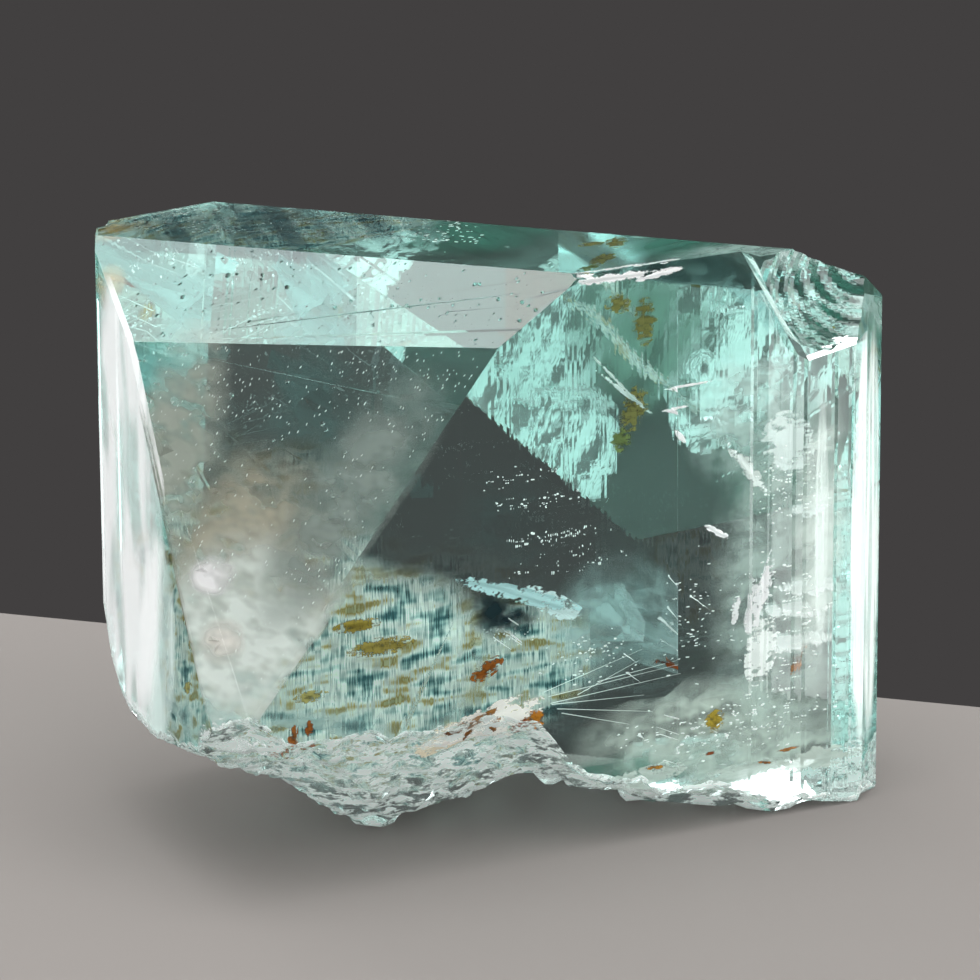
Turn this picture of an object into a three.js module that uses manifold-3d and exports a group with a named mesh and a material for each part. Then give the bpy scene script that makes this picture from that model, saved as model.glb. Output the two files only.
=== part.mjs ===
// A single loose crystal of blue topaz, standing with its long crystal axis upright.
// Millimetres, +Z up, +X to the right, -Y to the front; the origin is the middle of the bottom of its box.
// The top ends in the basal face c with a low dome f and a steep dome y on either side of it, and the
// sides are prism faces. The foot is broken: it rests on what is left of a basal cleavage.

import * as THREE from 'three';
import { ConvexGeometry } from 'three/addons/geometries/ConvexGeometry.js';
import { mergeVertices } from 'three/addons/utils/BufferGeometryUtils.js';
import Module from 'manifold-3d';

// ---- Driving dimensions ----

const HEIGHT = 24.3; // from the resting plane to the basal face
const LOW_DOME_DIP = 43.65; // angle between the faces f(021) and c(001) of topaz
const STEEP_DOME_DIP = 62.3; // angle between the faces y(041) and c(001) of topaz
const GENTLE_DOME_DIP = 32.5; // angle between the faces X(043) and c(001) of topaz
const UPRIGHT = 90;

// Each flat face: azimuth and dip of its outward normal in degrees, and its distance from the point of
// the resting plane that lies under the middle of the crystal.
const FACES = {
  basal: { azimuth: 0, dip: 0, distance: HEIGHT },
  frontLowDome: { azimuth: -90, dip: LOW_DOME_DIP, distance: 20.69 },
  frontSteepDome: { azimuth: -88.5, dip: STEEP_DOME_DIP, distance: 16.49 },
  frontRightPrism: { azimuth: -47.2, dip: UPRIGHT, distance: 6.95 },
  frontLeftPrism: { azimuth: -140.9, dip: UPRIGHT, distance: 14.69 },
  leftPrism: { azimuth: -163.4, dip: UPRIGHT, distance: 15.66 },
  leftFootUpperBreak: { azimuth: -163.4, dip: 99, distance: 14.07 },
  leftFootMiddleBreak: { azimuth: -163.4, dip: 111, distance: 11.85 },
  leftFootLowerBreak: { azimuth: -163.4, dip: 133, distance: 7.01 },
  backLeftPrismEnd: { azimuth: 140, dip: UPRIGHT, distance: 10.06 },
  backLeftPrism: { azimuth: 130, dip: UPRIGHT, distance: 8.92 },
  backPinacoid: { azimuth: 90, dip: UPRIGHT, distance: 11.4 },
  backRightPrism: { azimuth: 45, dip: UPRIGHT, distance: 14.72 },
  rightPinacoid: { azimuth: -4.8, dip: UPRIGHT, distance: 14.3 },
  backLowDome: { azimuth: 89.4, dip: GENTLE_DOME_DIP, distance: 21.14 },
  backSteepDome: { azimuth: 96, dip: 59.5, distance: 14.69 },
  resting: { azimuth: 0, dip: 180, distance: 0 },
};

// A thin growth layer still covers the upper right end of the front right face.
const LAYER_THICKNESS = 0.95;
const LAYER_START = 23; // from the front edge, along the face, at the basal face
const LAYER_START_LEAN = 29; // the layer's edges lean from upright and from level, in degrees
const LAYER_DEPTH = 5.1; // from the basal face down to the layer's lower edge, below its start
const LAYER_DEPTH_LEAN = 10;
const LAYER_REACH = 12; // from its start to past the right end of the face
const LAYER_OVERLAP = 0.4;

// The break at the foot, along the front right face from the front edge: [distance, height].
// The lip is where the face ends, and the foot is where the steep part of the break ends.
const BREAK_LIP = [
  [0, 8.6], [1.6, 8.3], [3, 6.9], [8, 6.3], [13.8, 6.4], [16.6, 2.9], [22, 1.4], [26, 0.5], [30, 0],
];
const BREAK_FOOT = [
  [0, 7.2], [4, 6.4], [5.8, 5.6], [7.4, 4.2], [9.8, 3.3], [11.6, 3.4], [12.9, 3.8],
  [14.4, 4.5], [15.4, 4.1], [16.4, 3.6], [17.8, 3], [21.4, 1.6], [25.6, 0.5], [30, -0.3],
];
const LIP_SLOPE = 1.3; // fall of the steep part for each millimetre inwards
const FOOT_SLOPE = 0.45;
// Along the front left face the break has one gentle slope.
const LEFT_BREAK = [[0, 7.9], [2.4, 6.4], [5, 5.5], [10.5, 5.6], [13, 6.2], [20, 8]];
const LEFT_SLOPE = 0.54;
// Flat flakes lost behind the notch and along the back edge of the foot: place, radius and height of each.
const FLAKES = [
  { x: 1.2, y: 0.6, radius: 4.4, height: 2.1 },
  { x: -9.5, y: 3.5, radius: 4.6, height: 2.1 },
  { x: 2.5, y: 13.6, radius: 4.2, height: 1.6 },
  { x: 12.5, y: 9.5, radius: 3.6, height: 1.2 },
];
// Cleavage makes the break fall in ledges parallel to the basal face.
const LEDGE_HEIGHT = 0.85;
const LEDGE_TREAD = 0.6; // share of each ledge that is its flat tread
const TREAD_RISE = 0.25; // share of each ledge's rise that is spread over the whole ledge
const ROUGHNESS = 0.5; // height of the bumps of the break
const BROAD_BUMP = 2.3; // sizes of its broad and its fine bumps
const FINE_BUMP = 0.9;

const GRID_STEP = 0.55; // spacing of the points of the break
const GRID_HALF_X = 16.5;
const GRID_HALF_Y = 17;
const GRID_DEPTH = 3; // how far the block under the break reaches below the resting plane

// Shell-shaped chips: the ball that each one fits, the point it was struck at, and the spacing and
// height of the ripples that spread from there.
const CHIPS = [
  { centre: [19.4, -4, 22.6], radii: [9, 9, 6.3], struck: [14.8, 3.6, 23.6], spacing: 0.8, ripple: 0.06 },
  { centre: [6.9, -4.75, 24.65], radii: [2.6, 0.75, 0.75], struck: [5, -5, 24.3], spacing: 0.6, ripple: 0.02 },
  { centre: [9.6, -2.3, 24.6], radii: [2.1, 0.8, 0.6], struck: [8, -3, 24.3], spacing: 0.6, ripple: 0.02 },
  { centre: [-15.5, -2.9, 24.5], radii: [0.5, 0.8, 0.5], struck: [-15, -3, 24.3], spacing: 0.5, ripple: 0.01 },
  { centre: [15.7, 4.6, -0.3], radii: [1.3, 1.5, 1.4], struck: [15, 5, 0], spacing: 0.6, ripple: 0.03 },
  { centre: [13.4, 2.6, -0.35], radii: [1.6, 1.2, 0.8], struck: [14, 3, 0], spacing: 0.6, ripple: 0.03 },
];
const CHIP_STEP = 0.2; // length of the flats that make up a chip's surface

// Shallow grooves run up the prism faces, and small etch pits cover the front domes.
const GROOVE_DEPTH = 0.02;
const GROOVE_WIDTH = 0.3;
const GROOVED_FACES = [
  { face: 'frontRightPrism', along: [3.4, 6.1, 7.3, 10.4, 13.1, 15.2, 18.6, 20.3, 23.6, 25.4, 25.9, 27.3, 28.1] },
  { face: 'frontLeftPrism', along: [-10.6, -9.1, -6.9, -5.2, -3.1] },
  { face: 'backLeftPrism', along: [-10.4, -8.3, -5.6, -3.7, 0.6, 3.1] },
  { face: 'backRightPrism', along: [-3.2, -1.4, 1.1] },
];
const PIT_COUNT = 44;
const PIT_WIDTH = 0.42;
const PIT_DEPTH = 0.11;
const PIT_SIZES = [0.6, 1.2]; // smallest and largest, as shares of that width and depth
const PIT_FIELDS = [
  { face: 'frontLowDome', x: [-12.5, 4], y: [-5.1, -6.8] },
  { face: 'frontSteepDome', x: [-12.5, -1], y: [-8.2, -11.5] },
];

const TOPAZ = { color: '#8fc9c4', roughness: 0.05, metalness: 0 };

// ---- Small helpers ----

const wasm = await Module();
wasm.setup();

function solidFrom(geometry) {
  const bare = geometry.index ? geometry.toNonIndexed() : geometry.clone();
  bare.deleteAttribute('normal');
  bare.deleteAttribute('uv');
  const merged = mergeVertices(bare, 1e-4);
  return new wasm.Manifold(new wasm.Mesh({
    numProp: 3,
    vertProperties: merged.attributes.position.array,
    triVerts: new Uint32Array(merged.index.array),
  }));
}

function geometryFrom(solid) {
  const mesh = solid.getMesh();
  const geometry = new THREE.BufferGeometry();
  geometry.setAttribute('position', new THREE.BufferAttribute(mesh.vertProperties, 3));
  geometry.setIndex(new THREE.BufferAttribute(mesh.triVerts, 1));
  return geometry;
}

// Repeatable scatter: a number from 0 to 1 for any pair of whole numbers.
function scatter(i, j) {
  const wave = Math.sin(i * 127.1 + j * 311.7) * 43758.5453;
  return wave - Math.floor(wave);
}

// Smooth bumps of about one unit in size, from -1 to 1.
function bumps(x, y) {
  const i = Math.floor(x);
  const j = Math.floor(y);
  const u = THREE.MathUtils.smoothstep(x - i, 0, 1);
  const v = THREE.MathUtils.smoothstep(y - j, 0, 1);
  const near = THREE.MathUtils.lerp(scatter(i, j), scatter(i + 1, j), u);
  const far = THREE.MathUtils.lerp(scatter(i, j + 1), scatter(i + 1, j + 1), u);
  return 2 * THREE.MathUtils.lerp(near, far, v) - 1;
}

// The height of a broken line of [distance, height] points at one distance.
function heightAlong(points, distance) {
  const next = points.findIndex((point) => point[0] > distance);
  if (next === 0) return points[0][1];
  if (next < 0) return points[points.length - 1][1];
  const [d0, h0] = points[next - 1];
  const [d1, h1] = points[next];
  return THREE.MathUtils.mapLinear(distance, d0, d1, h0, h1);
}

// ---- The flat faces ----

function planeOf({ azimuth, dip, distance }) {
  const a = THREE.MathUtils.degToRad(azimuth);
  const d = THREE.MathUtils.degToRad(dip);
  const normal = new THREE.Vector3(Math.sin(d) * Math.cos(a), Math.sin(d) * Math.sin(a), Math.cos(d));
  return new THREE.Plane(normal, -distance);
}

function meetingPoint(p, q, r) {
  const rows = new THREE.Matrix3().set(...p.normal.toArray(), ...q.normal.toArray(), ...r.normal.toArray());
  if (Math.abs(rows.determinant()) < 1e-6) return null;
  return new THREE.Vector3(-p.constant, -q.constant, -r.constant).applyMatrix3(rows.invert());
}

// The convex solid inside all the planes: its corners are the points where three planes meet.
function convexSolid(planes) {
  const corners = [];
  for (let i = 0; i < planes.length; i += 1) {
    for (let j = i + 1; j < planes.length; j += 1) {
      for (let k = j + 1; k < planes.length; k += 1) {
        const point = meetingPoint(planes[i], planes[j], planes[k]);
        if (point && planes.every((plane) => plane.distanceToPoint(point) < 1e-5)) corners.push(point);
      }
    }
  }
  return solidFrom(new ConvexGeometry(corners));
}

// A frame on a prism face: x runs along it to the right, y runs into the crystal, z is up, and the
// origin is the foot of the perpendicular from the middle of the crystal.
function prismFrame({ azimuth, distance }) {
  const inward = THREE.MathUtils.degToRad(azimuth + 180);
  return new THREE.Matrix4()
    .makeRotationZ(inward - Math.PI / 2)
    .setPosition(-distance * Math.cos(inward), -distance * Math.sin(inward), 0);
}

const frontRightFrame = prismFrame(FACES.frontRightPrism);
const frontLeftFrame = prismFrame(FACES.frontLeftPrism);
const frontEdge = meetingPoint(
  planeOf(FACES.frontRightPrism),
  planeOf(FACES.frontLeftPrism),
  planeOf(FACES.resting),
);
const frontEdgeOnRight = frontEdge.clone().applyMatrix4(frontRightFrame.clone().invert()).x;
const frontEdgeOnLeft = frontEdge.clone().applyMatrix4(frontLeftFrame.clone().invert()).x;

// The growth layer: what lies right of its start and above its lower edge in a crystal whose front right
// face is moved out by the layer. It reaches a little below that face, so that the two fuse.
function growthLayer() {
  const layered = { ...FACES.frontRightPrism, distance: FACES.frontRightPrism.distance + LAYER_THICKNESS };
  const body = convexSolid(Object.values({ ...FACES, frontRightPrism: layered }).map(planeOf));
  const start = frontEdgeOnRight + LAYER_START;
  const startFall = 1 / Math.tan(THREE.MathUtils.degToRad(LAYER_START_LEAN));
  const depthRise = Math.tan(THREE.MathUtils.degToRad(LAYER_DEPTH_LEAN));
  const corner = LAYER_DEPTH / (startFall + depthRise);
  const outline = new THREE.Shape([
    new THREE.Vector2(start - 1, HEIGHT + startFall),
    new THREE.Vector2(start + corner, HEIGHT - startFall * corner),
    new THREE.Vector2(start + LAYER_REACH, HEIGHT - LAYER_DEPTH + depthRise * LAYER_REACH),
    new THREE.Vector2(start + LAYER_REACH, HEIGHT + startFall),
  ]);
  const depth = 2 * (LAYER_THICKNESS + LAYER_OVERLAP);
  const slab = new THREE.ExtrudeGeometry(outline, { depth, bevelEnabled: false })
    .rotateX(Math.PI / 2)
    .translate(0, LAYER_OVERLAP, 0)
    .applyMatrix4(frontRightFrame);
  return body.intersect(solidFrom(slab));
}

// ---- The broken foot ----

function ledges(height) {
  const level = Math.floor(height / LEDGE_HEIGHT);
  const part = height / LEDGE_HEIGHT - level;
  const rise = THREE.MathUtils.smoothstep(part, LEDGE_TREAD, 1);
  return LEDGE_HEIGHT * (level + TREAD_RISE * part + (1 - TREAD_RISE) * rise);
}

// Height of the break above the resting plane; where it is negative the cleavage rests on the ground.
function breakHeight(x, y) {
  const point = new THREE.Vector3(x, y, 0);
  const right = point.clone().applyMatrix4(frontRightFrame.clone().invert());
  const left = point.clone().applyMatrix4(frontLeftFrame.clone().invert());
  const alongRight = right.x - frontEdgeOnRight;
  const alongLeft = frontEdgeOnLeft - left.x;
  const lip = heightAlong(BREAK_LIP, alongRight) - LIP_SLOPE * right.y;
  const foot = heightAlong(BREAK_FOOT, alongRight) - FOOT_SLOPE * right.y;
  const side = heightAlong(LEFT_BREAK, alongLeft) - LEFT_SLOPE * left.y;
  const flakes = FLAKES.map((flake) => {
    const away = Math.hypot(x - flake.x, y - flake.y) / flake.radius;
    return flake.height * (1 - away * away);
  });
  const smooth = Math.max(lip, foot, side, ...flakes);
  const broad = bumps(x / BROAD_BUMP, y / BROAD_BUMP);
  const fine = bumps(x / FINE_BUMP + 7, y / FINE_BUMP + 3);
  const rough = ROUGHNESS * (broad + 0.5 * fine);
  return ledges(smooth + rough * THREE.MathUtils.clamp(smooth + ROUGHNESS, 0, 1));
}

// Everything below the break, as a closed block whose top follows it.
function belowBreak() {
  const columns = Math.round((2 * GRID_HALF_X) / GRID_STEP);
  const rows = Math.round((2 * GRID_HALF_Y) / GRID_STEP);
  const block = new THREE.BoxGeometry(2 * GRID_HALF_X, 2 * GRID_HALF_Y, GRID_DEPTH, columns, rows, 1);
  block.translate(0, 0, -GRID_DEPTH / 2);
  const points = block.attributes.position;
  for (let i = 0; i < points.count; i += 1) {
    if (points.getZ(i) > -GRID_DEPTH / 2) {
      const height = breakHeight(points.getX(i), points.getY(i));
      points.setZ(i, Math.max(height, -GRID_DEPTH / 4));
    }
  }
  return solidFrom(block);
}

// ---- Chips, grooves and pits ----

function chip({ centre, radii, struck, spacing, ripple }) {
  const around = Math.ceil((2 * Math.PI * radii[0]) / CHIP_STEP);
  const ball = new THREE.SphereGeometry(1, around, Math.ceil(around / 2));
  const points = ball.attributes.position;
  const middle = new THREE.Vector3(...centre);
  const strike = new THREE.Vector3(...struck);
  for (let i = 0; i < points.count; i += 1) {
    const outward = new THREE.Vector3().fromBufferAttribute(points, i);
    const point = outward.clone().multiply(new THREE.Vector3(...radii)).add(middle);
    const wave = Math.sin((2 * Math.PI * point.distanceTo(strike)) / spacing);
    point.addScaledVector(outward, ripple * wave);
    points.setXYZ(i, point.x, point.y, point.z);
  }
  return solidFrom(ball);
}

function groove(frame, along) {
  const bar = new THREE.CylinderGeometry(1, 1, 2 * HEIGHT, 4);
  bar.rotateX(Math.PI / 2);
  bar.scale(GROOVE_WIDTH / 2, GROOVE_DEPTH, 1);
  bar.translate(along, 0, HEIGHT / 2);
  bar.applyMatrix4(frame);
  return solidFrom(bar);
}

// A shallow five-sided pit, pushed into a dome face at a scattered place: two in three are on the steep dome.
function pit(index) {
  const field = PIT_FIELDS[Math.min(1, index % 3)];
  const plane = planeOf(FACES[field.face]);
  const share = scatter(index, 2);
  const x = THREE.MathUtils.lerp(...field.x, scatter(index, 1));
  const y = THREE.MathUtils.lerp(...field.y, share * share);
  const z = -(plane.constant + plane.normal.x * x + plane.normal.y * y) / plane.normal.z;
  const size = THREE.MathUtils.lerp(...PIT_SIZES, scatter(index, 3));
  const cone = new THREE.ConeGeometry((size * PIT_WIDTH) / 2, 2 * size * PIT_DEPTH, 5);
  cone.rotateX(-Math.PI / 2);
  cone.applyQuaternion(new THREE.Quaternion().setFromUnitVectors(new THREE.Vector3(0, 0, 1), plane.normal));
  cone.translate(x, y, z);
  return solidFrom(cone);
}

// ---- The crystal ----

let crystal = convexSolid(Object.values(FACES).map(planeOf)).subtract(belowBreak());
for (const { face, along } of GROOVED_FACES) {
  const frame = prismFrame(FACES[face]);
  const start = face === 'frontRightPrism' ? frontEdgeOnRight : 0;
  for (const place of along) crystal = crystal.subtract(groove(frame, start + place));
}
crystal = crystal.add(growthLayer());
for (const place of CHIPS) crystal = crystal.subtract(chip(place));
for (let index = 0; index < PIT_COUNT; index += 1) crystal = crystal.subtract(pit(index));

const geometry = geometryFrom(crystal);
geometry.computeBoundingBox();
const middle = geometry.boundingBox.getCenter(new THREE.Vector3());
geometry.translate(-middle.x, -middle.y, -geometry.boundingBox.min.z);

const topazCrystal = new THREE.Mesh(geometry, new THREE.MeshStandardMaterial(TOPAZ));
topazCrystal.name = 'topaz_crystal';

const part = new THREE.Group();
part.add(topazCrystal);

export default part;
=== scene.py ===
"""A loose crystal of clear blue topaz: its glassy body, what is sealed inside it, and the studio around it."""

import math
import random

import bmesh
import bpy
from mathutils import Matrix, Vector, noise


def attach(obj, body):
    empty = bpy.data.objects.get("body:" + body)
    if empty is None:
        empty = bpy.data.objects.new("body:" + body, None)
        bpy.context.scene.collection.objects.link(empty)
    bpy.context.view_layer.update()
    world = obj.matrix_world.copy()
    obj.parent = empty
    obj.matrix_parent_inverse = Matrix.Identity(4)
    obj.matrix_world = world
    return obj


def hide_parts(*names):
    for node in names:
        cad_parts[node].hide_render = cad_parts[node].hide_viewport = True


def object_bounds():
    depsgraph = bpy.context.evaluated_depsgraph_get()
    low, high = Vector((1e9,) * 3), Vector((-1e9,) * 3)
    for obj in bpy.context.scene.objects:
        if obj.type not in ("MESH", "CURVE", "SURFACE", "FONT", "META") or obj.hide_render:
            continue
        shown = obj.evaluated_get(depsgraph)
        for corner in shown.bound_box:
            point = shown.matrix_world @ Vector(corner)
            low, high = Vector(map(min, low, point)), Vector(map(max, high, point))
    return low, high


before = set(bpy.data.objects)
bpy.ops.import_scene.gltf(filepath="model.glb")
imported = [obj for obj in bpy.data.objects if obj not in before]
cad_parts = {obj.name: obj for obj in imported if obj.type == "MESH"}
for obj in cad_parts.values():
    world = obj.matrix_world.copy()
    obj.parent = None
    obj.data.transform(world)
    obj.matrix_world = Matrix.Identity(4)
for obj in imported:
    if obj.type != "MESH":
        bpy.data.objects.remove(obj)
CAD_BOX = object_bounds()
# One millimetre, in the scene's metres.
MM = 0.001

bl_info = {
    "name": "Blue topaz crystal",
    "version": (1, 0, 0),
    "blender": (4, 5, 0),
    "location": "View3D > Sidebar > Topaz",
    "description": "Builds a clear blue topaz crystal with its striated faces, broken foot and inclusions",
    "category": "Object",
}

NODE = "topaz_crystal"
TOPAZ_IOR = 1.62


def outward(azimuth, dip=90.0):
    """The outward normal of a flat face, from its azimuth and its dip from level, in degrees."""
    turn, lean = math.radians(azimuth), math.radians(dip)
    return Vector((math.sin(lean) * math.cos(turn), math.sin(lean) * math.sin(turn), math.cos(lean)))


FRONT_RIGHT = outward(-47.2)
FRONT_LEFT = outward(-140.9)
RIGHT_END = outward(-4.8)
BACK_LEFT = outward(130.0)
BACK_RIGHT = outward(45.0)
GENTLE_DOME = outward(-90, 43.65)
STEEP_DOME = outward(-88.5, 62.3)
BASE = outward(0, 0)

# Along the front right face, to the right.
ALONG = outward(42.8)
# From the crystal's middle to the front edge of the front right face, along that face, and straight out to that
# face, in millimetres.
FRONT_EDGE = 13.78
FACE_OUT = 5.92

# Faces point the same way when the product of their normals is over this.
SAME_WAY = 0.9999
# A face of the broken foot lies under FOOT_TOP, in millimetres, looks down by more than FOOT_LEAN, as the height of
# its normal, and is smaller than FOOT_PATCH, in square millimetres.
FOOT_TOP = 9.2
FOOT_LEAN = 0.03
FOOT_PATCH = 1.2

# What is in the stone and comes nearer to its surface than SKIN is set UNDER it, and films stop RIM before it, in
# millimetres.
SKIN = 0.05
UNDER = 0.07
RIM = 0.08


# ---- Colours and materials ----


def linear(hex_colour):
    """A linear RGBA colour from an sRGB hex string."""
    channels = [int(hex_colour[i : i + 2], 16) / 255 for i in (1, 3, 5)]
    return [c / 12.92 if c <= 0.04045 else ((c + 0.055) / 1.055) ** 2.4 for c in channels] + [1.0]


def add_node(tree, kind, settings=None, values=None, links=None):
    """Adds one node. settings are its attributes, values its socket values and links its input sockets' sources."""
    node = tree.nodes.new(kind)
    for name, value in (settings or {}).items():
        setattr(node, name, value)
    for name, value in (values or {}).items():
        node.inputs[name].default_value = value
    for name, source in (links or {}).items():
        tree.links.new(source, node.inputs[name])
    return node


def new_material(name):
    """An empty material, with its node tree and output."""
    material = bpy.data.materials.new(name)
    material.use_nodes = True
    tree = material.node_tree
    tree.nodes.clear()
    return material, tree, add_node(tree, "ShaderNodeOutputMaterial")


def math_node(tree, operation, first, second):
    """A sum, product and so on of two sockets or numbers."""
    node = add_node(tree, "ShaderNodeMath", {"operation": operation})
    for socket, value in zip(node.inputs, (first, second)):
        if isinstance(value, bpy.types.NodeSocket):
            tree.links.new(value, socket)
        else:
            socket.default_value = value
    return node.outputs[0]


def band(tree, value, low, high, out_low=0.0, out_high=1.0):
    """Takes a socket smoothly from out_low, where it is at low, to out_high, where it is at high."""
    return add_node(
        tree,
        "ShaderNodeMapRange",
        {"interpolation_type": "SMOOTHSTEP"},
        {"From Min": low, "From Max": high, "To Min": out_low, "To Max": out_high},
        {"Value": value},
    ).outputs["Result"]


def film_noise(tree, size, detail, roughness):
    """Noise over a film that is seen from the front, with its lumps size apart, in millimetres across and up."""
    place = add_node(tree, "ShaderNodeTexCoord").outputs["Object"]
    turned = add_node(
        tree,
        "ShaderNodeMapping",
        {"vector_type": "TEXTURE"},
        {"Rotation": (math.radians(90), 0, math.radians(30)), "Scale": Vector((*size, 1)) * MM},
        {"Vector": place},
    ).outputs[0]
    return add_node(
        tree,
        "ShaderNodeTexNoise",
        {"noise_dimensions": "2D"},
        {"Scale": 1.0, "Detail": detail, "Roughness": roughness},
        {"Vector": turned},
    ).outputs["Fac"]


def clear_topaz(settings):
    """Topaz: colourless to pale blue-green, fully clear, with flat faces as glossy as they grew. All its lines,
    pits and ridges are in its shape, so they break up what is seen through them."""
    material, tree, output = new_material("clear_blue_topaz")
    surface = add_node(
        tree,
        "ShaderNodeBsdfPrincipled",
        values={"Base Color": (1, 1, 1, 1), "Roughness": 0.0, "IOR": TOPAZ_IOR, "Transmission Weight": 1.0},
    )
    body = add_node(
        tree,
        "ShaderNodeVolumeAbsorption",
        values={"Color": linear(settings.body_colour), "Density": settings.body_density},
    )
    tree.links.new(surface.outputs["BSDF"], output.inputs["Surface"])
    tree.links.new(body.outputs["Volume"], output.inputs["Volume"])
    return material


def attribute(tree, name, output="Fac"):
    """A value that a piece keeps at each of its points."""
    return add_node(tree, "ShaderNodeAttribute", {"attribute_name": name}).outputs[output]


def soft_cover(tree, inner):
    """How densely a film covers what is behind it, with an edge that fades from inner, a share of its half size."""
    edge = band(tree, attribute(tree, "reach"), 1.0, inner)
    return math_node(tree, "MULTIPLY", edge, attribute(tree, "cover"))


def torn_cover(tree, torn, rim, middle, depth, low, high):
    """The same, with a torn edge. What is left between a point and rim, less depth times what the noise torn is under
    middle there, brings full cover where it is over high and none where it is under low."""
    edge = math_node(tree, "SUBTRACT", rim, attribute(tree, "reach"))
    bite = math_node(tree, "MULTIPLY", math_node(tree, "SUBTRACT", torn, middle), depth)
    cut = math_node(tree, "ADD", edge, bite)
    return math_node(tree, "MULTIPLY", band(tree, cut, low, high), attribute(tree, "cover"))


def brightened(tree, colour, value):
    """A colour, made darker or brighter by the socket value."""
    return add_node(tree, "ShaderNodeHueSaturation", links={"Value": value, "Color": colour}).outputs[0]


def white_inside(tree, output, colour, alpha, glow, roughness=0.7):
    """The surface of what is pale and rough in the stone. glow stands for the light that the stone's faces keep
    sending back through it, of which a render follows only a few turns."""
    surface = add_node(
        tree,
        "ShaderNodeBsdfPrincipled",
        values={"Roughness": roughness, "IOR": 1.2, "Emission Strength": glow},
        links={"Alpha": alpha},
    )
    for name in ("Base Color", "Emission Color"):
        if isinstance(colour, bpy.types.NodeSocket):
            tree.links.new(colour, surface.inputs[name])
        else:
            surface.inputs[name].default_value = colour
    tree.links.new(surface.outputs["BSDF"], output.inputs["Surface"])


def veil_and_painted_light_film():
    """Milky veil: a film of fine bubbles in topaz, soft, pale and half see-through, with a cloudy edge. The same film
    also serves as painted shade, painted reflection and painted highlights in the stone.
    """
    material, tree, output = new_material("bubble_veil_and_painted_light_film")
    cloud = film_noise(tree, (1.5, 1.1), 2.0, 0.66)
    alpha = math_node(tree, "MULTIPLY", soft_cover(tree, 0.25), band(tree, cloud, 0.3, 0.68, 0.35, 1.25))
    white_inside(tree, output, attribute(tree, "tint", "Color"), alpha, 0.16)
    return material


def crumb_frost():
    """Crushed skin: fine cracks close under a broken face of topaz, white where the breaks crowd together."""
    material, tree, output = new_material("crushed_topaz_skin")
    crumb = film_noise(tree, (0.9, 0.42), 3.0, 0.7)
    alpha = band(tree, crumb, 0.44, 0.58, 0.06, 1.0)
    white_inside(tree, output, linear("#eef9f5"), alpha, 0.3, 0.5)
    return material


def frost_and_painted_light_lines():
    """Growth-line frost: a milky film that follows the growth lines of a prism face, in fine upright streaks. Behind
    the left face it also paints the bright light seen through that face.
    """
    material, tree, output = new_material("growth_frost_and_painted_light")
    streak = film_noise(tree, (0.22, 6.0), 1.0, 0.5)
    alpha = math_node(tree, "MULTIPLY", soft_cover(tree, 0.7), band(tree, streak, 0.35, 0.6, 0.45, 1.1))
    white_inside(tree, output, attribute(tree, "tint", "Color"), alpha, 0.5)
    return material


def crisp_fracture():
    """Open fracture: a thin film of air in topaz, silvery white, with a torn edge and fine ribs."""
    material, tree, output = new_material("silvery_open_fracture")
    torn = film_noise(tree, (0.5, 0.35), 2.0, 0.7)
    alpha = torn_cover(tree, torn, rim=1.6, middle=0.72, depth=2.2, low=0.1, high=0.45)
    white_inside(tree, output, attribute(tree, "tint", "Color"), alpha, 0.22, 0.35)
    return material


def stained_fracture():
    """Iron-stained healed fracture: level bands of white, ochre and deep teal, with a cloudy edge."""
    material, tree, output = new_material("iron_stained_fracture")
    stain = film_noise(tree, (1.7, 0.62), 1.5, 0.5)
    streak = film_noise(tree, (0.085, 0.9), 1.0, 0.5)
    shift = math_node(tree, "MULTIPLY", math_node(tree, "SUBTRACT", streak, 0.5), 0.36)
    ramp = add_node(tree, "ShaderNodeValToRGB", links={"Fac": math_node(tree, "ADD", stain, shift)})
    stops = ramp.color_ramp.elements
    for position, colour in (
        (0.26, "#3f686c"),
        (0.34, "#88adab"),
        (0.42, "#c6dcd6"),
        (0.5, "#f2f6f0"),
        (0.6, "#e2e9de"),
        (0.66, "#c4b78c"),
        (0.72, "#a08a4c"),
        (0.8, "#b0ad86"),
    ):
        stops.new(position).color = linear(colour)
    stops.remove(stops[0])
    stops.remove(stops[-1])
    combed = brightened(tree, ramp.outputs["Color"], band(tree, streak, 0.3, 0.7, 0.7, 1.2))
    white_inside(tree, output, combed, soft_cover(tree, 0.55), 0.16)
    return material


def rust_film():
    """Rust: limonite and goethite in thin crusts, matt orange to dark brown, with a torn edge."""
    material, tree, output = new_material("iron_rust")
    torn = film_noise(tree, (0.34, 0.26), 2.0, 0.7)
    alpha = torn_cover(tree, torn, rim=1.5, middle=0.68, depth=2.4, low=0.05, high=0.6)
    shade = brightened(tree, attribute(tree, "tint", "Color"), band(tree, torn, 0.3, 0.65, 0.55, 1.25))
    white_inside(tree, output, shade, alpha, 0.06, 0.85)
    return material


def solid_inside(name, roughness, glow):
    """A small solid grain sealed in the stone, in its own tint, with a painted glow of that tint that stands for
    light the stone sends back through it.
    """
    material, tree, output = new_material(name)
    tint = attribute(tree, "tint", "Color")
    surface = add_node(
        tree,
        "ShaderNodeBsdfPrincipled",
        values={"Roughness": roughness, "Emission Strength": glow},
        links={"Base Color": tint, "Emission Color": tint},
    )
    tree.links.new(surface.outputs["BSDF"], output.inputs["Surface"])
    return material


def matt_card():
    """Matt paper card: an even pale surface without gloss."""
    material, tree, output = new_material("matt_pale_card")
    surface = add_node(
        tree,
        "ShaderNodeBsdfPrincipled",
        values={"Base Color": linear("#7c7875"), "Roughness": 0.9, "Specular IOR Level": 0.0},
    )
    tree.links.new(surface.outputs["BSDF"], output.inputs["Surface"])
    return material


# ---- Settings ----


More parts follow.
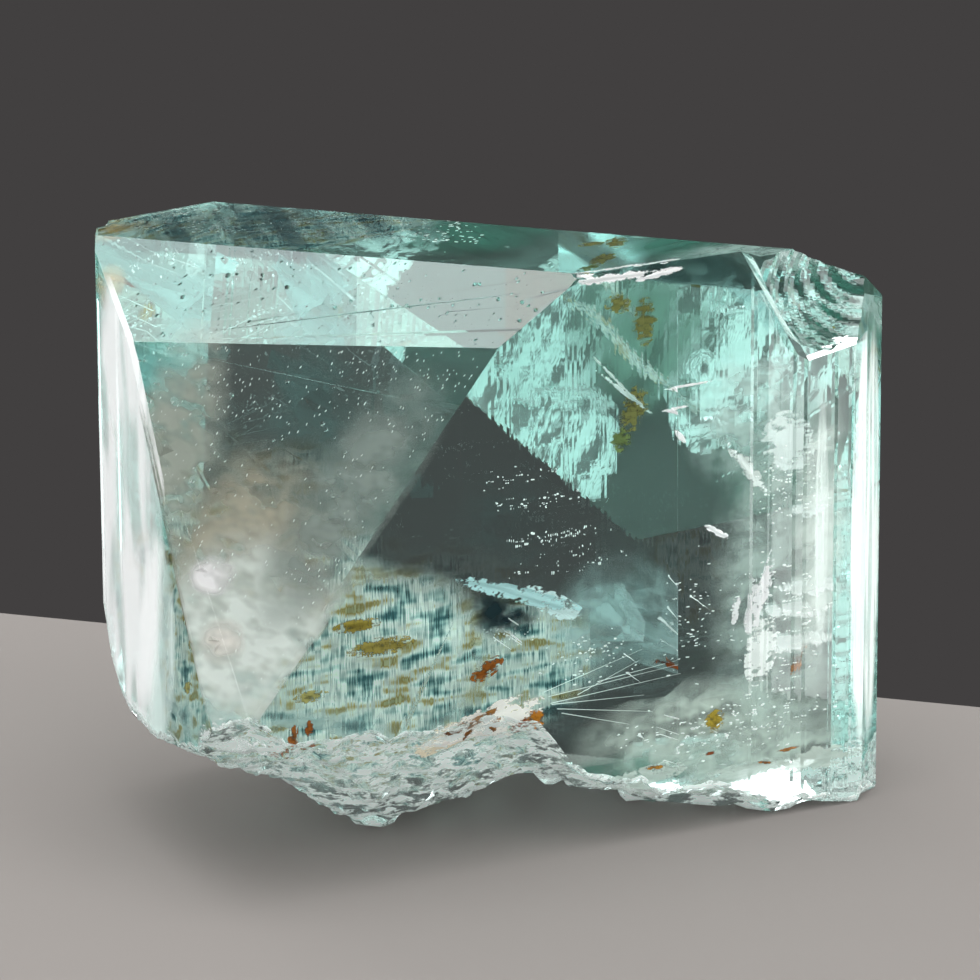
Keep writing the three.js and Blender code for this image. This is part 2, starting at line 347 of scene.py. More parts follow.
class TopazBodySettings(bpy.types.PropertyGroup):
    """The clear body of the crystal."""

    body_colour: bpy.props.StringProperty(
        name="Body colour", description="Colour that light keeps inside the crystal, as sRGB hex", default="#62f1e6"
    )
    body_density: bpy.props.FloatProperty(
        name="Body density", description="How fast the colour deepens, for each metre", default=18.0
    )
    crumb: bpy.props.FloatProperty(
        name="Crumb",
        description="Spacing of the small ridges on the broken foot",
        default=1.1 * MM,
        subtype="DISTANCE",
        unit="LENGTH",
    )
    line_depth: bpy.props.FloatProperty(
        name="Growth line depth",
        description="How far the growth lines of the prism faces stand in and out",
        default=0.0032 * MM,
        subtype="DISTANCE",
        unit="LENGTH",
    )
    line_spacing: bpy.props.FloatProperty(
        name="Growth line spacing",
        description="From one growth line to the next, at most",
        default=0.17 * MM,
        subtype="DISTANCE",
        unit="LENGTH",
    )
    pits: bpy.props.FloatProperty(
        name="Etch pits",
        description="Etch pits on the top and the gentle dome, as a share of the usual number",
        default=1.0,
    )


class TopazStudioSettings(bpy.types.PropertyGroup):
    """The floor, lights and camera."""

    view_azimuth: bpy.props.FloatProperty(
        name="View azimuth",
        description="Turn of the camera round the crystal",
        default=math.radians(16.6),
        subtype="ANGLE",
    )
    view_elevation: bpy.props.FloatProperty(
        name="View elevation",
        description="Height of the camera as an angle",
        default=math.radians(18.5),
        subtype="ANGLE",
    )
    view_roll: bpy.props.FloatProperty(
        name="View roll", description="Roll of the camera", default=math.radians(0.3), subtype="ANGLE"
    )
    view_distance: bpy.props.FloatProperty(
        name="View distance",
        description="From the camera to its target",
        default=275 * MM,
        subtype="DISTANCE",
        unit="LENGTH",
    )
    focal_length: bpy.props.FloatProperty(
        name="Focal length", description="Focal length in millimetres on a 36 mm sensor", default=257.1
    )
    floor_edge: bpy.props.FloatProperty(
        name="Floor edge",
        description="How far behind the middle of the crystal the floor ends",
        default=18 * MM,
        subtype="DISTANCE",
        unit="LENGTH",
    )


# ---- Places inside the crystal ----


def inside(along, height, depth):
    """A place in the crystal, in millimetres along the front right face from its front edge, over the resting
    plane, and in behind the face."""
    return ALONG * (along - FRONT_EDGE) + FRONT_RIGHT * (FACE_OUT - depth) + Vector((0, 0, height))


def placement(centre, half, turn=0, lean=0, spin=0):
    """Takes a unit shape to its place: its x along the front right face, its y up, and its z out of the face.
    half is its half size, spin turns it in its own plane, lean tips its top back and turn swings it about z."""
    upright = Matrix((ALONG, Vector((0, 0, 1)), FRONT_RIGHT)).transposed().to_4x4()
    swing = Matrix.Rotation(math.radians(turn), 4, "Z")
    tip = Matrix.Rotation(math.radians(-lean), 4, "X")
    roll = Matrix.Rotation(math.radians(spin), 4, "Z")
    size = Matrix.Diagonal((*half, 1.0))
    return Matrix.Translation(inside(*centre)) @ swing @ upright @ tip @ roll @ size


# ---- Pieces ----


def unit_lens(segments, rings):
    """A ball with its rings closest at its rim, to be flattened to a film; its poles are its middle."""
    select_nothing()
    bpy.ops.mesh.primitive_uv_sphere_add(segments=segments, ring_count=rings, radius=1)
    return take_shape()


def unit_grain():
    """A small grain of twenty faces."""
    select_nothing()
    bpy.ops.mesh.primitive_ico_sphere_add(subdivisions=1, radius=1)
    return take_shape()


def unit_needle():
    """A thin six-sided needle along x, from 0 to 1, that narrows to its far end."""
    select_nothing()
    bpy.ops.mesh.primitive_cone_add(vertices=6, radius1=1, radius2=0.25, depth=1, location=(0, 0, 0.5))
    turn_faces_out()
    bpy.ops.object.transform_apply(location=True, rotation=True, scale=True)
    return take_shape()


def turn_faces_out():
    """Turns every face of the object in hand outward."""
    bpy.ops.object.mode_set(mode="EDIT")
    bpy.ops.mesh.select_all(action="SELECT")
    bpy.ops.mesh.normals_make_consistent(inside=False)
    bpy.ops.object.mode_set(mode="OBJECT")


def take_shape():
    """The points and faces of the object in hand, which is then removed."""
    start = bpy.context.active_object
    shape = [v.co.copy() for v in start.data.vertices], [tuple(f.vertices) for f in start.data.polygons]
    mesh = start.data
    bpy.data.objects.remove(start)
    bpy.data.meshes.remove(mesh)
    return shape


def clear_way(body, centre, point):
    """The share of the way from centre to point that stays inside the stone."""
    way = point - centre
    hit, place, _, _ = body.ray_cast(centre, way.normalized(), distance=way.length)
    return max(0.0, (place - centre).length - RIM * MM) / way.length if hit else 1.0


def keep_inside(body, point):
    """Moves a point that is outside the stone, or nearly out, to just under its surface."""
    found, nearest, normal, _ = body.closest_point_on_mesh(point)
    if found and (point - nearest).dot(normal) > -SKIN * MM:
        return nearest - normal * UNDER * MM
    return point


def join_copies(name, shape, copies, material):
    """One piece from many copies of a shape, all kept inside the stone. Each copy is its matrix, tint, cover, wave
    and seed; wave bends a film out of its plane, in millimetres. Each point keeps its tint, its cover and its reach,
    which is its distance from its copy's middle, from 0 to 1."""
    base, faces = shape
    body = bpy.data.objects["clear_body"]
    highest = CAD_BOX[1][2] - UNDER * MM
    # Waves over half a film, and the step through the noise from one film to the next.
    waves, step = 1.3, 3.7
    points, polygons, tints, covers, reaches = [], [], [], [], []
    for matrix, tint, cover, wave, seed in copies:
        start = len(points)
        colour = linear(tint)
        out = matrix.to_3x3() @ Vector((0, 0, 1))
        out.normalize()
        centre = matrix.translation * MM
        for point in base:
            bend = 0.0
            if wave:
                bend = wave * noise.noise(Vector((point.x * waves + seed * step, point.y * waves, seed)))
            place = (matrix @ point + out * bend) * MM
            share = clear_way(body, centre, place)
            place = keep_inside(body, centre + (place - centre) * share)
            place.z = min(place.z, highest)
            points.append(place)
            tints.extend(colour)
            covers.append(cover)
            reaches.append(math.hypot(point.x, point.y) * share)
        polygons.extend(tuple(start + i for i in face) for face in faces)
    mesh = bpy.data.meshes.new(name)
    mesh.from_pydata(points, [], polygons)
    mesh.attributes.new("tint", "FLOAT_COLOR", "POINT").data.foreach_set("color", tints)
    mesh.attributes.new("cover", "FLOAT", "POINT").data.foreach_set("value", covers)
    mesh.attributes.new("reach", "FLOAT", "POINT").data.foreach_set("value", reaches)
    mesh.materials.append(material)
    seal_in(add_to_scene(name, mesh))


def seal_in(piece):
    """Makes a piece part of what is sealed in the stone: it casts no shadow, and it goes where the stone goes."""
    piece.visible_shadow = False
    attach(piece, "root")


def plain(matrix, tint):
    """A copy for join_copies that is solid and straight."""
    return matrix, tint, 1.0, 0.0, 0


def add_to_scene(name, mesh):
    """A new object for a mesh, alone in the selection."""
    piece = bpy.data.objects.new(name, mesh)
    bpy.context.scene.collection.objects.link(piece)
    select_only(piece)
    return piece


def select_nothing():
    """Leaves edit mode and deselects every object."""
    if bpy.context.mode != "OBJECT":
        bpy.ops.object.mode_set(mode="OBJECT")
    bpy.ops.object.select_all(action="DESELECT")


def select_only(piece):
    """Makes one object the only selected one, and the active one."""
    select_nothing()
    piece.select_set(True)
    bpy.context.view_layer.objects.active = piece


def is_broken(face):
    """True for a face of the broken foot, which is small and neither upright nor on the resting plane."""
    height = (face.center / MM).z
    resting = abs(face.normal.z) > SAME_WAY and height < 0.02
    leaning = height < FOOT_TOP and face.normal.z < -FOOT_LEAN
    return leaning and not resting and face.area < FOOT_PATCH * MM * MM


def spots(body, normal, number, half, slant, patch, pick):
    """Scattered places on the flat face that looks along normal. Each is the place, then half the width and half the
    length of a spot there, in millimetres, turned by about slant degrees. They lie in drifts, where smooth noise is
    over patch."""
    side = Vector((1, 0, 0)) if normal.z > 0.99 else Vector((0, 0, 1)).cross(normal).normalized()
    up = normal.cross(side)
    tries, drift, clear, away, flat = 8, 3.5, 0.16, 12, 0.999
    found = []
    for _ in range(number * tries):
        if len(found) == number:
            break
        start = Vector((pick.uniform(-15, 15), pick.uniform(-13, 13), pick.uniform(8, 24.3))) * MM
        size, turn = pick.uniform(0.6, 1.3), math.radians(pick.uniform(-16, 16) - slant)
        if noise.noise(start / (drift * MM)) < patch:
            continue
        hits = [
            body.ray_cast(start + normal * away * MM + (side * a + up * b) * clear * MM, -normal)
            for a, b in ((0, 0), (1, 1), (-1, 1), (1, -1), (-1, -1))
        ]
        if all(hit[0] and hit[2].dot(normal) > flat for hit in hits):
            wide = (side * math.cos(turn) + up * math.sin(turn)) * half[0] * size
            long = (up * math.cos(turn) - side * math.sin(turn)) * half[1] * size
            found.append((hits[0][1], wide, long))
    return found


class TOPAZ_OT_clear_body(bpy.types.Operator):
    """Build the clear body of the crystal over its solid"""

    bl_idname = "topaz.clear_body"
    bl_label = "Clear body"

    def execute(self, context):
        settings = context.scene.topaz_body
        piece = add_to_scene("clear_body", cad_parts[NODE].data.copy())
        piece.data.materials.clear()
        piece.data.materials.append(clear_topaz(settings))
        bpy.ops.object.mode_set(mode="EDIT")
        bpy.ops.mesh.select_all(action="SELECT")
        bpy.ops.mesh.remove_doubles(threshold=0.0005 * MM)
        bpy.ops.object.mode_set(mode="OBJECT")
        self.flatten(piece, BACK_LEFT)
        self.flatten(piece, BACK_RIGHT)
        self.flatten(piece, FRONT_RIGHT, 22.5)
        self.etch(piece, settings)
        spacing, depth = settings.line_spacing / MM, settings.line_depth / MM
        self.line(piece, FRONT_RIGHT, ALONG, (0.28 * spacing, spacing), depth, 1)
        self.line(piece, FRONT_LEFT, outward(-50.9), (0.9 * spacing, 2.4 * spacing), 0.5 * depth, 2)
        self.line(piece, RIGHT_END, outward(85.2), (0.6 * spacing, 1.6 * spacing), depth, 3)
        self.line(piece, STEEP_DOME, outward(90, 27.7), (1.6 * spacing, 3.2 * spacing), 0.5 * depth, 4)
        self.crumble(piece, settings)
        for face in piece.data.polygons:
            face.use_smooth = is_broken(face)
            face.material_index = 0
        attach(piece, "root")
        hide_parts(NODE)
        return {"FINISHED"}

    @staticmethod
    def flatten(piece, normal, end=math.inf):
        """Closes the faint grooves of a face, up to end millimetres along the front right face: on a back face,
        seen only from within, they would be magnified, and in front the finer lines take their place."""
        groove = 0.04 * MM
        faces = [face for face in piece.data.polygons if face.normal.dot(normal) > SAME_WAY]
        largest = max(faces, key=lambda face: face.area)
        for vertex in piece.data.vertices:
            short = (largest.center - vertex.co).dot(normal)
            if abs(short) < groove and vertex.co.dot(ALONG) / MM + FRONT_EDGE < end:
                vertex.co += normal * short

    @staticmethod
    def etch(piece, settings):
        """Cuts small pits into the top and long ones into the gentle dome."""
        pick = random.Random(3)
        deep = 0.045
        pit, faces = unit_grain()
        points, polygons = [], []
        for normal, number, half, slant, patch in (
            (GENTLE_DOME, 330, (0.045, 0.09), 42, -0.1),
            (BASE, 260, (0.11, 0.045), 0, 0.0),
        ):
            for place, wide, long in spots(piece, normal, int(number * settings.pits), half, slant, patch, pick):
                first = len(points)
                for point in pit:
                    points.append(place + (wide * point.x + long * point.y + normal * deep * point.z) * MM)
                polygons.extend(tuple(first + i for i in face) for face in faces)
        mesh = bpy.data.meshes.new("pits")
        mesh.from_pydata(points, [], polygons)
        mesh.materials.append(piece.data.materials[0])
        cutter = add_to_scene("pits", mesh)
        turn_faces_out()
        select_only(piece)
        modifier = piece.modifiers.new("etch", "BOOLEAN")
        modifier.object = cutter
        modifier.operation = "DIFFERENCE"
        modifier.solver = "MANIFOLD"
        bpy.ops.object.modifier_apply(modifier="etch")
        bpy.data.objects.remove(cutter)

    @staticmethod
    def line(piece, normal, across, spacing, depth, seed):
        """Cuts a flat face into narrow strips square to across, and moves the lines between them in and out. The
        strips are cut to short lengths, so that each line swells and fades."""
        pick = random.Random(seed)
        facing, smallest, rim, length = 0.9997, 0.05 * MM * MM, 0.03 * MM, 2.3
        mesh = bmesh.new()
        mesh.from_mesh(piece.data)
        faces = [face for face in mesh.faces if face.normal.dot(normal) > facing and face.calc_area() > smallest]
        bmesh.ops.inset_region(mesh, faces=faces, thickness=rim, use_boundary=True, use_even_offset=False)
        corners = {vertex for face in faces for vertex in face.verts}
        edges = {edge for face in faces for edge in face.edges}
        span = [vertex.co.dot(across) / MM for vertex in corners]
        at, stops = min(span), []
        while at < max(span):
            at += pick.uniform(*spacing)
            stops.append(at)
        along = normal.cross(across)
        heights = [vertex.co.dot(along) / MM for vertex in corners]
        levels = [min(heights) + length * (i + 0.5) for i in range(int((max(heights) - min(heights)) / length))]
        geometry = [*corners, *edges, *faces]
        for way, stop in [(across, stop) for stop in stops] + [(along, level) for level in levels]:
            cut = bmesh.ops.bisect_plane(mesh, geom=geometry, dist=1e-8, plane_co=way * stop * MM, plane_no=way)
            geometry = cut["geom"]
        for vertex in {item for item in geometry if isinstance(item, bmesh.types.BMVert)}:
            place, level = vertex.co.dot(across) / MM, vertex.co.dot(along) / MM
            long_waves = noise.noise(Vector((place * 7.1, seed, level * 0.05)))
            short_waves = noise.noise(Vector((place * 9.7, level * 0.3, seed)))
            vertex.co += normal * depth * (long_waves + 0.5 * short_waves) * MM
        mesh.to_mesh(piece.data)
        mesh.free()

    @staticmethod
    def crumble(piece, settings):
        """Divides the broken foot into finer faces and gives it sharp small ridges, as brittle stone breaks."""
        for face in piece.data.polygons:
            face.select = is_broken(face)
        bpy.ops.object.mode_set(mode="EDIT")
        bpy.ops.mesh.subdivide(number_cuts=2)
        bpy.ops.object.mode_set(mode="OBJECT")
        mesh = piece.data
        broken = {v for face in mesh.polygons if is_broken(face) for v in face.vertices}
        whole = {v for face in mesh.polygons if not is_broken(face) for v in face.vertices}
        group = piece.vertex_groups.new(name="broken")
        # In millimetres over the resting plane: where the ridges start, and how much higher they are in full.
        foot, fade = 0.15, 0.6
        for index in broken - whole:
            weight = min(1.0, max(0.0, (mesh.vertices[index].co.z / MM - foot) / fade))
            group.add([index], weight, "REPLACE")
        # Ridges of two sizes, with their depths in millimetres.
        for name, size, depth in (("coarse_crumb", settings.crumb, 0.16), ("fine_crumb", settings.crumb / 3, 0.05)):
            texture = bpy.data.textures.new(name, "MUSGRAVE")
            texture.musgrave_type = "RIDGED_MULTIFRACTAL"
            texture.noise_scale = size
            modifier = piece.modifiers.new(name, "DISPLACE")
            modifier.texture = texture
            modifier.texture_coords = "LOCAL"
            modifier.vertex_group = "broken"
            modifier.mid_level = 1.2
            modifier.strength = depth * MM
            bpy.ops.object.modifier_apply(modifier=name)


# Each film: centre (along, height, depth), half width and half height, turn, lean and spin in degrees, wave, tint and
# cover.
VEILS_AND_PAINTED_LIGHT = (
    # Right third of the stone
    ((26.0, 9.0, 3.6), (4.2, 8.5), 10, 0, 0, 0.7, "#d3e4dc", 0.5),
    ((25.0, 16.4, 4.4), (3.6, 3.6), -12, 8, 20, 0.6, "#dcece6", 0.42),
    ((27.3, 11.5, 2.0), (1.9, 7.5), 25, 0, -4, 0.3, "#dfeae2", 0.45),
    ((23.0, 3.6, 4.0), (7.4, 2.6), 4, -6, 0, 0.5, "#e2ece2", 0.7),
    ((24.6, 2.4, 2.6), (5.2, 1.6), 0, -15, 2, 0.4, "#d9e8de", 0.7),
    # Over the base, films whose tints paint the colour that the back domes mirror into the upper part of the front:
    # painted reflection
    ((12.0, 1.5, 8.8), (6.0, 3.6), 0, 88, 0, 0.3, "#93a89b", 0.8),
    ((21.6, 1.2, 8.6), (4.8, 3.6), 0, 88, 0, 0.2, "#5c887a", 0.75),
    # Over the middle of the front right face, with a dark film that paints a dim patch of shade under the curved veil
    ((12.8, 10.4, 1.6), (2.1, 1.2), 0, 0, -24, 0.2, "#1d3237", 0.85),
    ((18.5, 8.6, 5.0), (3.4, 3.2), 0, 0, 30, 0.5, "#bfe0dd", 0.4),
    # Behind the steep dome: milky veils whose beige and grey tints paint the warm light that this face mirrors from
    # below, and whose white ones paint the bright patches of light reflected inside the stone
    ((1.4, 17.2, 6.8), (2.2, 6.4), -41, 28, -6, 0.1, "#a7afa4", 0.95),
    ((2.8, 13.2, 2.9), (4.8, 5.6), -41, 28, 0, 0.1, "#b4b09e", 0.95),
    ((2.0, 11.0, 1.9), (4.4, 4.8), -41, 28, -20, 0.1, "#e9f3ec", 1.0),
    ((6.4, 16.0, 1.4), (2.4, 7.0), -41, 28, -28, 0.1, "#9aa8a1", 0.6),
    ((1.45, 13.0, 3.55), (1.1, 0.95), -41, 28, 0, 0.05, "#ffffff", 1.3),
    ((1.2, 10.7, 2.25), (1.1, 1.1), -41, 28, 0, 0.05, "#f4f2ea", 0.8),
    # Ochre corner of the top
    ((2.8, 23.6, 14.8), (1.8, 0.9), 0, 88, 0, 0.1, "#b39a5e", 0.55),
    ((1.4, 22.2, 13.0), (0.9, 1.0), -41, 46, 0, 0.1, "#c3b78c", 0.5),
    # Dark films under the top face that paint it dim: painted shade where the top mirrors the dark room
    ((8.0, 23.95, 12.0), (8.5, 6.0), 0, 89.5, -18, 0.0, "#123b42", 0.55),
    ((20.0, 23.95, 6.0), (9.0, 5.0), 0, 89.5, -12, 0.0, "#2a4a48", 0.35),
    # Behind the left face and the foot
    ((5.0, 4.6, 9.0), (5.5, 2.2), -12, -20, 0, 0.5, "#cfe2de", 0.6),
)

# Frost along the growth lines behind the left face, the right end and the front right face, in the same columns as
# the films above. Behind the left face its white and its glow also paint the bright light that shows through that
# face.
FROST_AND_PAINTED_LIGHT = (
    ((0.9, 14.0, 10.4), (4.6, 11.0), -93.7, 0, 0, 0.0, "#ffffff", 0.62),
    ((0.9, 9.0, 7.2), (2.2, 5.4), -93.7, 0, -8, 0.0, "#e4f2ee", 0.6),
    ((29.2, 11.0, 1.6), (1.1, 9.5), 42, 0, 0, 0.1, "#f4faf6", 0.6),
    ((27.0, 12.0, 0.8), (0.35, 6.0), 0, 0, 0, 0.0, "#e6f1ec", 0.35),
)

# Films with a torn edge, in the same columns as the films above.
CRACKS = (
    # Curved veil in the middle and the white streaks right of it
    ((13.3, 11.3, 0.9), (3.2, 0.36), 0, -10, -22, 0.2, "#b9e4e4", 0.95),
    ((14.9, 10.6, 1.1), (1.6, 0.5), 0, -10, -33, 0.2, "#d4f0ee", 0.9),
    ((24.4, 9.7, 1.0), (0.3, 1.7), 20, 0, -16, 0.4, "#ffffff", 0.85),
    ((24.0, 8.9, 1.6), (0.2, 1.3), 40, 0, -8, 0.4, "#ffffff", 0.7),
    ((23.2, 9.0, 1.2), (0.18, 0.9), 20, 0, -12, 0.3, "#ffffff", 0.85),
    ((24.4, 7.0, 1.3), (0.8, 1.5), 10, 0, -10, 0.2, "#f4faf6", 0.8),
    ((22.4, 12.4, 1.4), (0.7, 0.16), 0, 0, -32, 0.1, "#ffffff", 1.0),
    # Pale chipped lip along the top edge
    ((17.6, 23.9, 0.5), (2.2, 0.2), 0, 0, 0, 0.1, "#ffffff", 0.9),
    ((19.6, 23.8, 0.5), (1.2, 0.16), 0, 0, 8, 0.1, "#ffffff", 0.9),
    # Arcs in the upper middle
    ((18.2, 18.9, 1.4), (1.7, 0.1), 0, 0, -41, 0.1, "#d8efe9", 0.85),
    ((17.8, 19.5, 1.5), (1.5, 0.07), 0, 0, -48, 0.1, "#d8efe9", 0.7),
    ((20.9, 18.9, 0.9), (1.1, 0.06), 0, 0, 1, 0.0, "#ffffff", 0.9),
    ((20.2, 18.0, 0.9), (0.75, 0.07), 0, 0, 3, 0.0, "#ffffff", 0.9),
    ((20.7, 16.7, 1.4), (0.42, 0.12), 0, 0, -48, 0.0, "#ffffff", 1.0),
    ((23.8, 14.9, 1.6), (1.5, 0.3), 0, 0, -52, 0.2, "#f2faf6", 0.7),
    ((25.8, 15.6, 2.0), (1.2, 1.4), 0, 10, 30, 0.3, "#e8f4f0", 0.5),
    # Level partings along the cleavage
    ((26.3, 8.3, 2.6), (1.6, 1.8), 0, 86, 0, 0.05, "#f6fbf8", 0.8),
    ((26.2, 6.9, 2.6), (1.9, 1.8), 0, 87, 0, 0.05, "#f6fbf8", 0.8),
    ((27.0, 9.2, 2.4), (1.4, 1.6), 0, 86, 0, 0.05, "#f6fbf8", 0.7),
    ((26.8, 12.6, 2.0), (1.0, 1.2), 0, 84, 0, 0.05, "#eef8f4", 0.6),
    # Stained patch over the foot, white lens at the left foot, and the pale foot on the right
    ((11.7, 5.8, 0.9), (2.9, 1.0), 0, -6, 17, 0.2, "#fdfbf3", 1.0),
    ((10.2, 5.5, 1.1), (1.6, 0.8), 0, -6, 24, 0.2, "#f4ead2", 0.9),
    ((2.2, 6.3, 2.2), (1.5, 0.75), -20, 0, -28, 0.2, "#ffffff", 1.0),
    ((19.0, 2.5, 1.2), (2.2, 0.5), 0, -20, 4, 0.3, "#dbe9e1", 0.6),
    ((23.4, 1.9, 1.2), (2.6, 0.5), 0, -20, 4, 0.3, "#d6e6dd", 0.55),
    ((27.0, 1.9, 1.2), (1.8, 0.6), 0, -20, 2, 0.3, "#d6e4da", 0.55),
)

# Stained films, in the same columns as the films above.
STAINS = (
    ((8.6, 7.6, 8.4), (6.2, 4.6), 0, 0, 0, 0.8, "#ffffff", 0.95),
    ((14.6, 6.4, 9.8), (5.6, 3.4), 0, 0, 0, 0.6, "#ffffff", 0.8),
    ((6.4, 10.8, 10.6), (4.6, 2.0), -25, 20, 0, 0.5, "#ffffff", 0.5),
)


def films(rows):
    """The copies of a unit lens for rows of films."""
    half_thick = 0.02
    return [
        (placement(centre, (*half, half_thick), turn, lean, spin), tint, cover, wave, index)
        for index, (centre, half, turn, lean, spin, wave, tint, cover) in enumerate(rows)
    ]


class TOPAZ_OT_veils(bpy.types.Operator):
    """Add the milky veils with the films of painted light among them, and the silvery fractures"""

    bl_idname = "topaz.veils"
    bl_label = "Veils and fractures"

    def execute(self, context):
        lens = unit_lens(28, 12)
        join_copies("bubble_veils_and_painted_light", lens, films(VEILS_AND_PAINTED_LIGHT), veil_and_painted_light_film())
        join_copies("growth_frost_and_painted_light", lens, films(FROST_AND_PAINTED_LIGHT), frost_and_painted_light_lines())
        join_copies("silvery_fractures", lens, films(CRACKS), crisp_fracture())
        self.crushed_skin()
        return {"FINISHED"}

    @staticmethod
    def crushed_skin():
        """A thin frosted shell close under the broken foot, whose faces are the smooth ones of the body."""
        body = bpy.data.objects["clear_body"]
        below, share, thick = 0.12, 0.3, 0.02
        mesh = bmesh.new()
        mesh.from_mesh(body.data)
        whole = [face for face in mesh.faces if not face.smooth]
        bmesh.ops.delete(mesh, geom=whole, context="FACES")
        for vertex in mesh.verts:
            vertex.co -= vertex.normal * below * MM
        data = bpy.data.meshes.new("crushed_skin")
        mesh.to_mesh(data)
        mesh.free()
        data.materials.clear()
        data.materials.append(crumb_frost())
        skin = add_to_scene("crushed_skin", data)
        modifier = skin.modifiers.new("reduce", "DECIMATE")
        modifier.ratio = share
        bpy.ops.object.modifier_apply(modifier="reduce")
        for vertex in skin.data.vertices:
            vertex.co = keep_inside(body, vertex.co)
        modifier = skin.modifiers.new("thickness", "SOLIDIFY")
        modifier.thickness = thick * MM
        modifier.offset = -1
        bpy.ops.object.modifier_apply(modifier="thickness")
        seal_in(skin)


class TOPAZ_OT_stained_fractures(bpy.types.Operator):
    """Add the healed fractures that iron has stained"""

    bl_idname = "topaz.stained_fractures"
    bl_label = "Stained fractures"

    def execute(self, context):
        join_copies("stained_fractures", unit_lens(36, 16), films(STAINS), stained_fracture())
        return {"FINISHED"}


# Swarms of white specks: centre, half spread, number, half width and half height of a speck.
SWARMS = (
    ((14.6, 15.4, 5.0), (2.2, 0.5, 0.4), 34, 0.035, 0.03),
    ((15.0, 14.2, 5.0), (3.0, 0.4, 0.4), 44, 0.045, 0.03),
    ((16.2, 12.6, 5.0), (3.2, 0.35, 0.4), 60, 0.032, 0.06),
    ((16.6, 11.6, 4.6), (3.0, 0.8, 0.4), 46, 0.03, 0.045),
    ((13.4, 9.6, 2.6), (1.3, 1.0, 0.4), 90, 0.035, 0.035),
    ((17.0, 7.8, 2.4), (2.4, 1.4, 0.8), 60, 0.06, 0.03),
    ((25.8, 13.6, 1.8), (2.0, 2.2, 0.8), 120, 0.06, 0.03),
    ((25.6, 8.0, 1.8), (2.6, 4.4, 1.0), 200, 0.08, 0.03),
    ((21.5, 8.6, 3.0), (1.8, 3.0, 1.0), 90, 0.07, 0.025),
    ((23.0, 4.0, 1.6), (5.5, 1.4, 0.8), 160, 0.08, 0.03),
)


class TOPAZ_OT_specks(bpy.types.Operator):
    """Add the swarms of white specks, and the dashes that paint glints and shade at the pits"""

    bl_idname = "topaz.specks"
    bl_label = "Specks"

    def execute(self, context):
        pick = random.Random(7)
        copies, under_top = [], 420
        for centre, spread, number, wide, high in SWARMS:
            for _ in range(number):
                place = [c + s * pick.uniform(-1, 1) * pick.uniform(0.3, 1) for c, s in zip(centre, spread)]
                size = pick.uniform(0.5, 1.5)
                half = (wide * size, high * size * pick.uniform(0.6, 1.4), 0.02)
                turned = placement(place, half, pick.uniform(-40, 40), pick.uniform(-40, 40), pick.uniform(-25, 25))
                copies.append(plain(turned, "#f4faf7"))
        # Specks close under the top face, in a band along its front edge.
        for _ in range(under_top):
            run = pick.random()
            back = pick.random() ** 1.6
            place = (3.0 + 11.5 * run + 2.0 * back, 23.9 - 0.7 * pick.random(), 14.6 - 8.4 * run + 3.2 * back)
            size = pick.uniform(0.4, 1.3)
            half = (0.09 * size, 0.05 * size, 0.015)
            turned = placement(place, half, pick.uniform(-40, 40), pick.uniform(40, 110), pick.uniform(-30, 30))
            copies.append(plain(turned, "#dcefe9"))
        # Bright and dark dashes just under the domes, where the light catches their pits: painted glints under the
        # steep dome and painted shade under the gentle dome.
        body = bpy.data.objects["clear_body"]
        thick, below = 0.012, 0.09
        for normal, number, half, slant, patch, tint in (
            (STEEP_DOME, 950, (0.016, 0.062), 24, 0.02, "#dfe8e4"),
            (GENTLE_DOME, 620, (0.026, 0.05), 42, -0.1, "#23302d"),
        ):
            for place, wide, long in spots(body, normal, number, half, slant, patch, pick):
                turned = Matrix((wide, long, normal * thick)).transposed().to_4x4()
                turned.translation = place / MM - normal * below
                copies.append(plain(turned, tint))
        material = solid_inside("fluid_speck_and_painted_pit_light", 0.5, 0.35)
        join_copies("specks_and_painted_pit_light", unit_grain(), copies, material)
        return {"FINISHED"}


# A film of rust reaches this much further than its even part, with a torn rim.
RUST_RIM = 1.2
